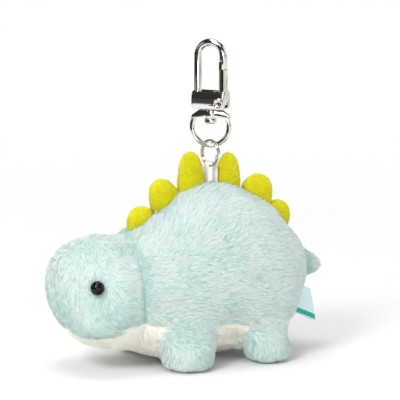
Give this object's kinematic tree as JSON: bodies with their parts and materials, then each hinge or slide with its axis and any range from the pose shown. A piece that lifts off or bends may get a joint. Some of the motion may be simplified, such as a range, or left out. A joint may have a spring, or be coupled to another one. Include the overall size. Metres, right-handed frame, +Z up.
{
  "type": "plush keychain",
  "caption": "Stuffed plush dinosaur with soft back plates, hung by a ribbon loop and split ring from a swivel snap hook with a sprung gate.",
  "frame": {"origin": "inside top of the snap hook's bow, where the keychain hangs", "axes": "+Z up when it hangs; the toy looks along -X, and its left side is towards -Y"},
  "size_m": [0.1084, 0.0546, 0.1138],
  "materials": {
    "nickel": "polished nickel plate",
    "mint_plush": "long soft pile",
    "cream_plush": "short velvet pile",
    "yellow_plush": "short felted pile",
    "filling": "loose polyester fibre",
    "bead": "polished",
    "washer": "moulded",
    "ribbon": "satin weave",
    "label": "woven satin with a teal hem"
  },
  "bodies": {
    "clasp": {"clasp_frame": "nickel", "swivel_post": "nickel", "gate_rivet": "nickel", "gate_spring": "nickel"},
    "gate": {"gate": "nickel"},
    "swivel": {"swivel_eye": "nickel"},
    "ring": {"split_ring": "nickel"},
    "plush": {"ribbon_loop": "ribbon", "head_panel_left": "mint_plush", "head_panel_right": "mint_plush", "torso_panel_left": "mint_plush", "torso_panel_right": "mint_plush", "leg_front_left": "mint_plush", "leg_front_right": "mint_plush", "leg_rear_left": "mint_plush", "leg_rear_right": "mint_plush", "tail": "mint_plush", "belly_panel": "cream_plush", "fibre_filling": "filling", "plate_1": "yellow_plush", "plate_2": "yellow_plush", "plate_3": "yellow_plush", "plate_4": "yellow_plush", "plate_5": "yellow_plush", "plate_6": "yellow_plush", "eye_left": "bead", "eye_right": "bead", "eye_washer_left": "washer", "eye_washer_right": "washer", "label": "label"}
  },
  "joints": [
    {"name": "gate_hinge", "type": "hinge", "parent": "clasp", "child": "gate", "pos_m": [0.00259, -0.00331, -0.0198], "axis": [-0.788, -0.6157, 0], "range_deg": [0, 22], "stiffness_Nm_per_rad": 0.01, "springref_deg": -20.05, "deforming": ["gate_spring"]},
    {"name": "swivel_turn", "type": "hinge", "parent": "clasp", "child": "swivel", "pos_m": [0, 0, -0.0242], "axis": [0, 0, 1], "continuous": true},
    {"name": "ring_swing", "type": "hinge", "parent": "swivel", "child": "ring", "pos_m": [0, 0, -0.03535], "axis": [0.7771, -0.6293, 0], "range_deg": [-50, 50]},
    {"name": "plush_swing", "type": "hinge", "parent": "ring", "child": "plush", "pos_m": [0, 0, -0.04275], "axis": [0.1736, -0.9848, 0], "range_deg": [-20, 20]}
  ]
}
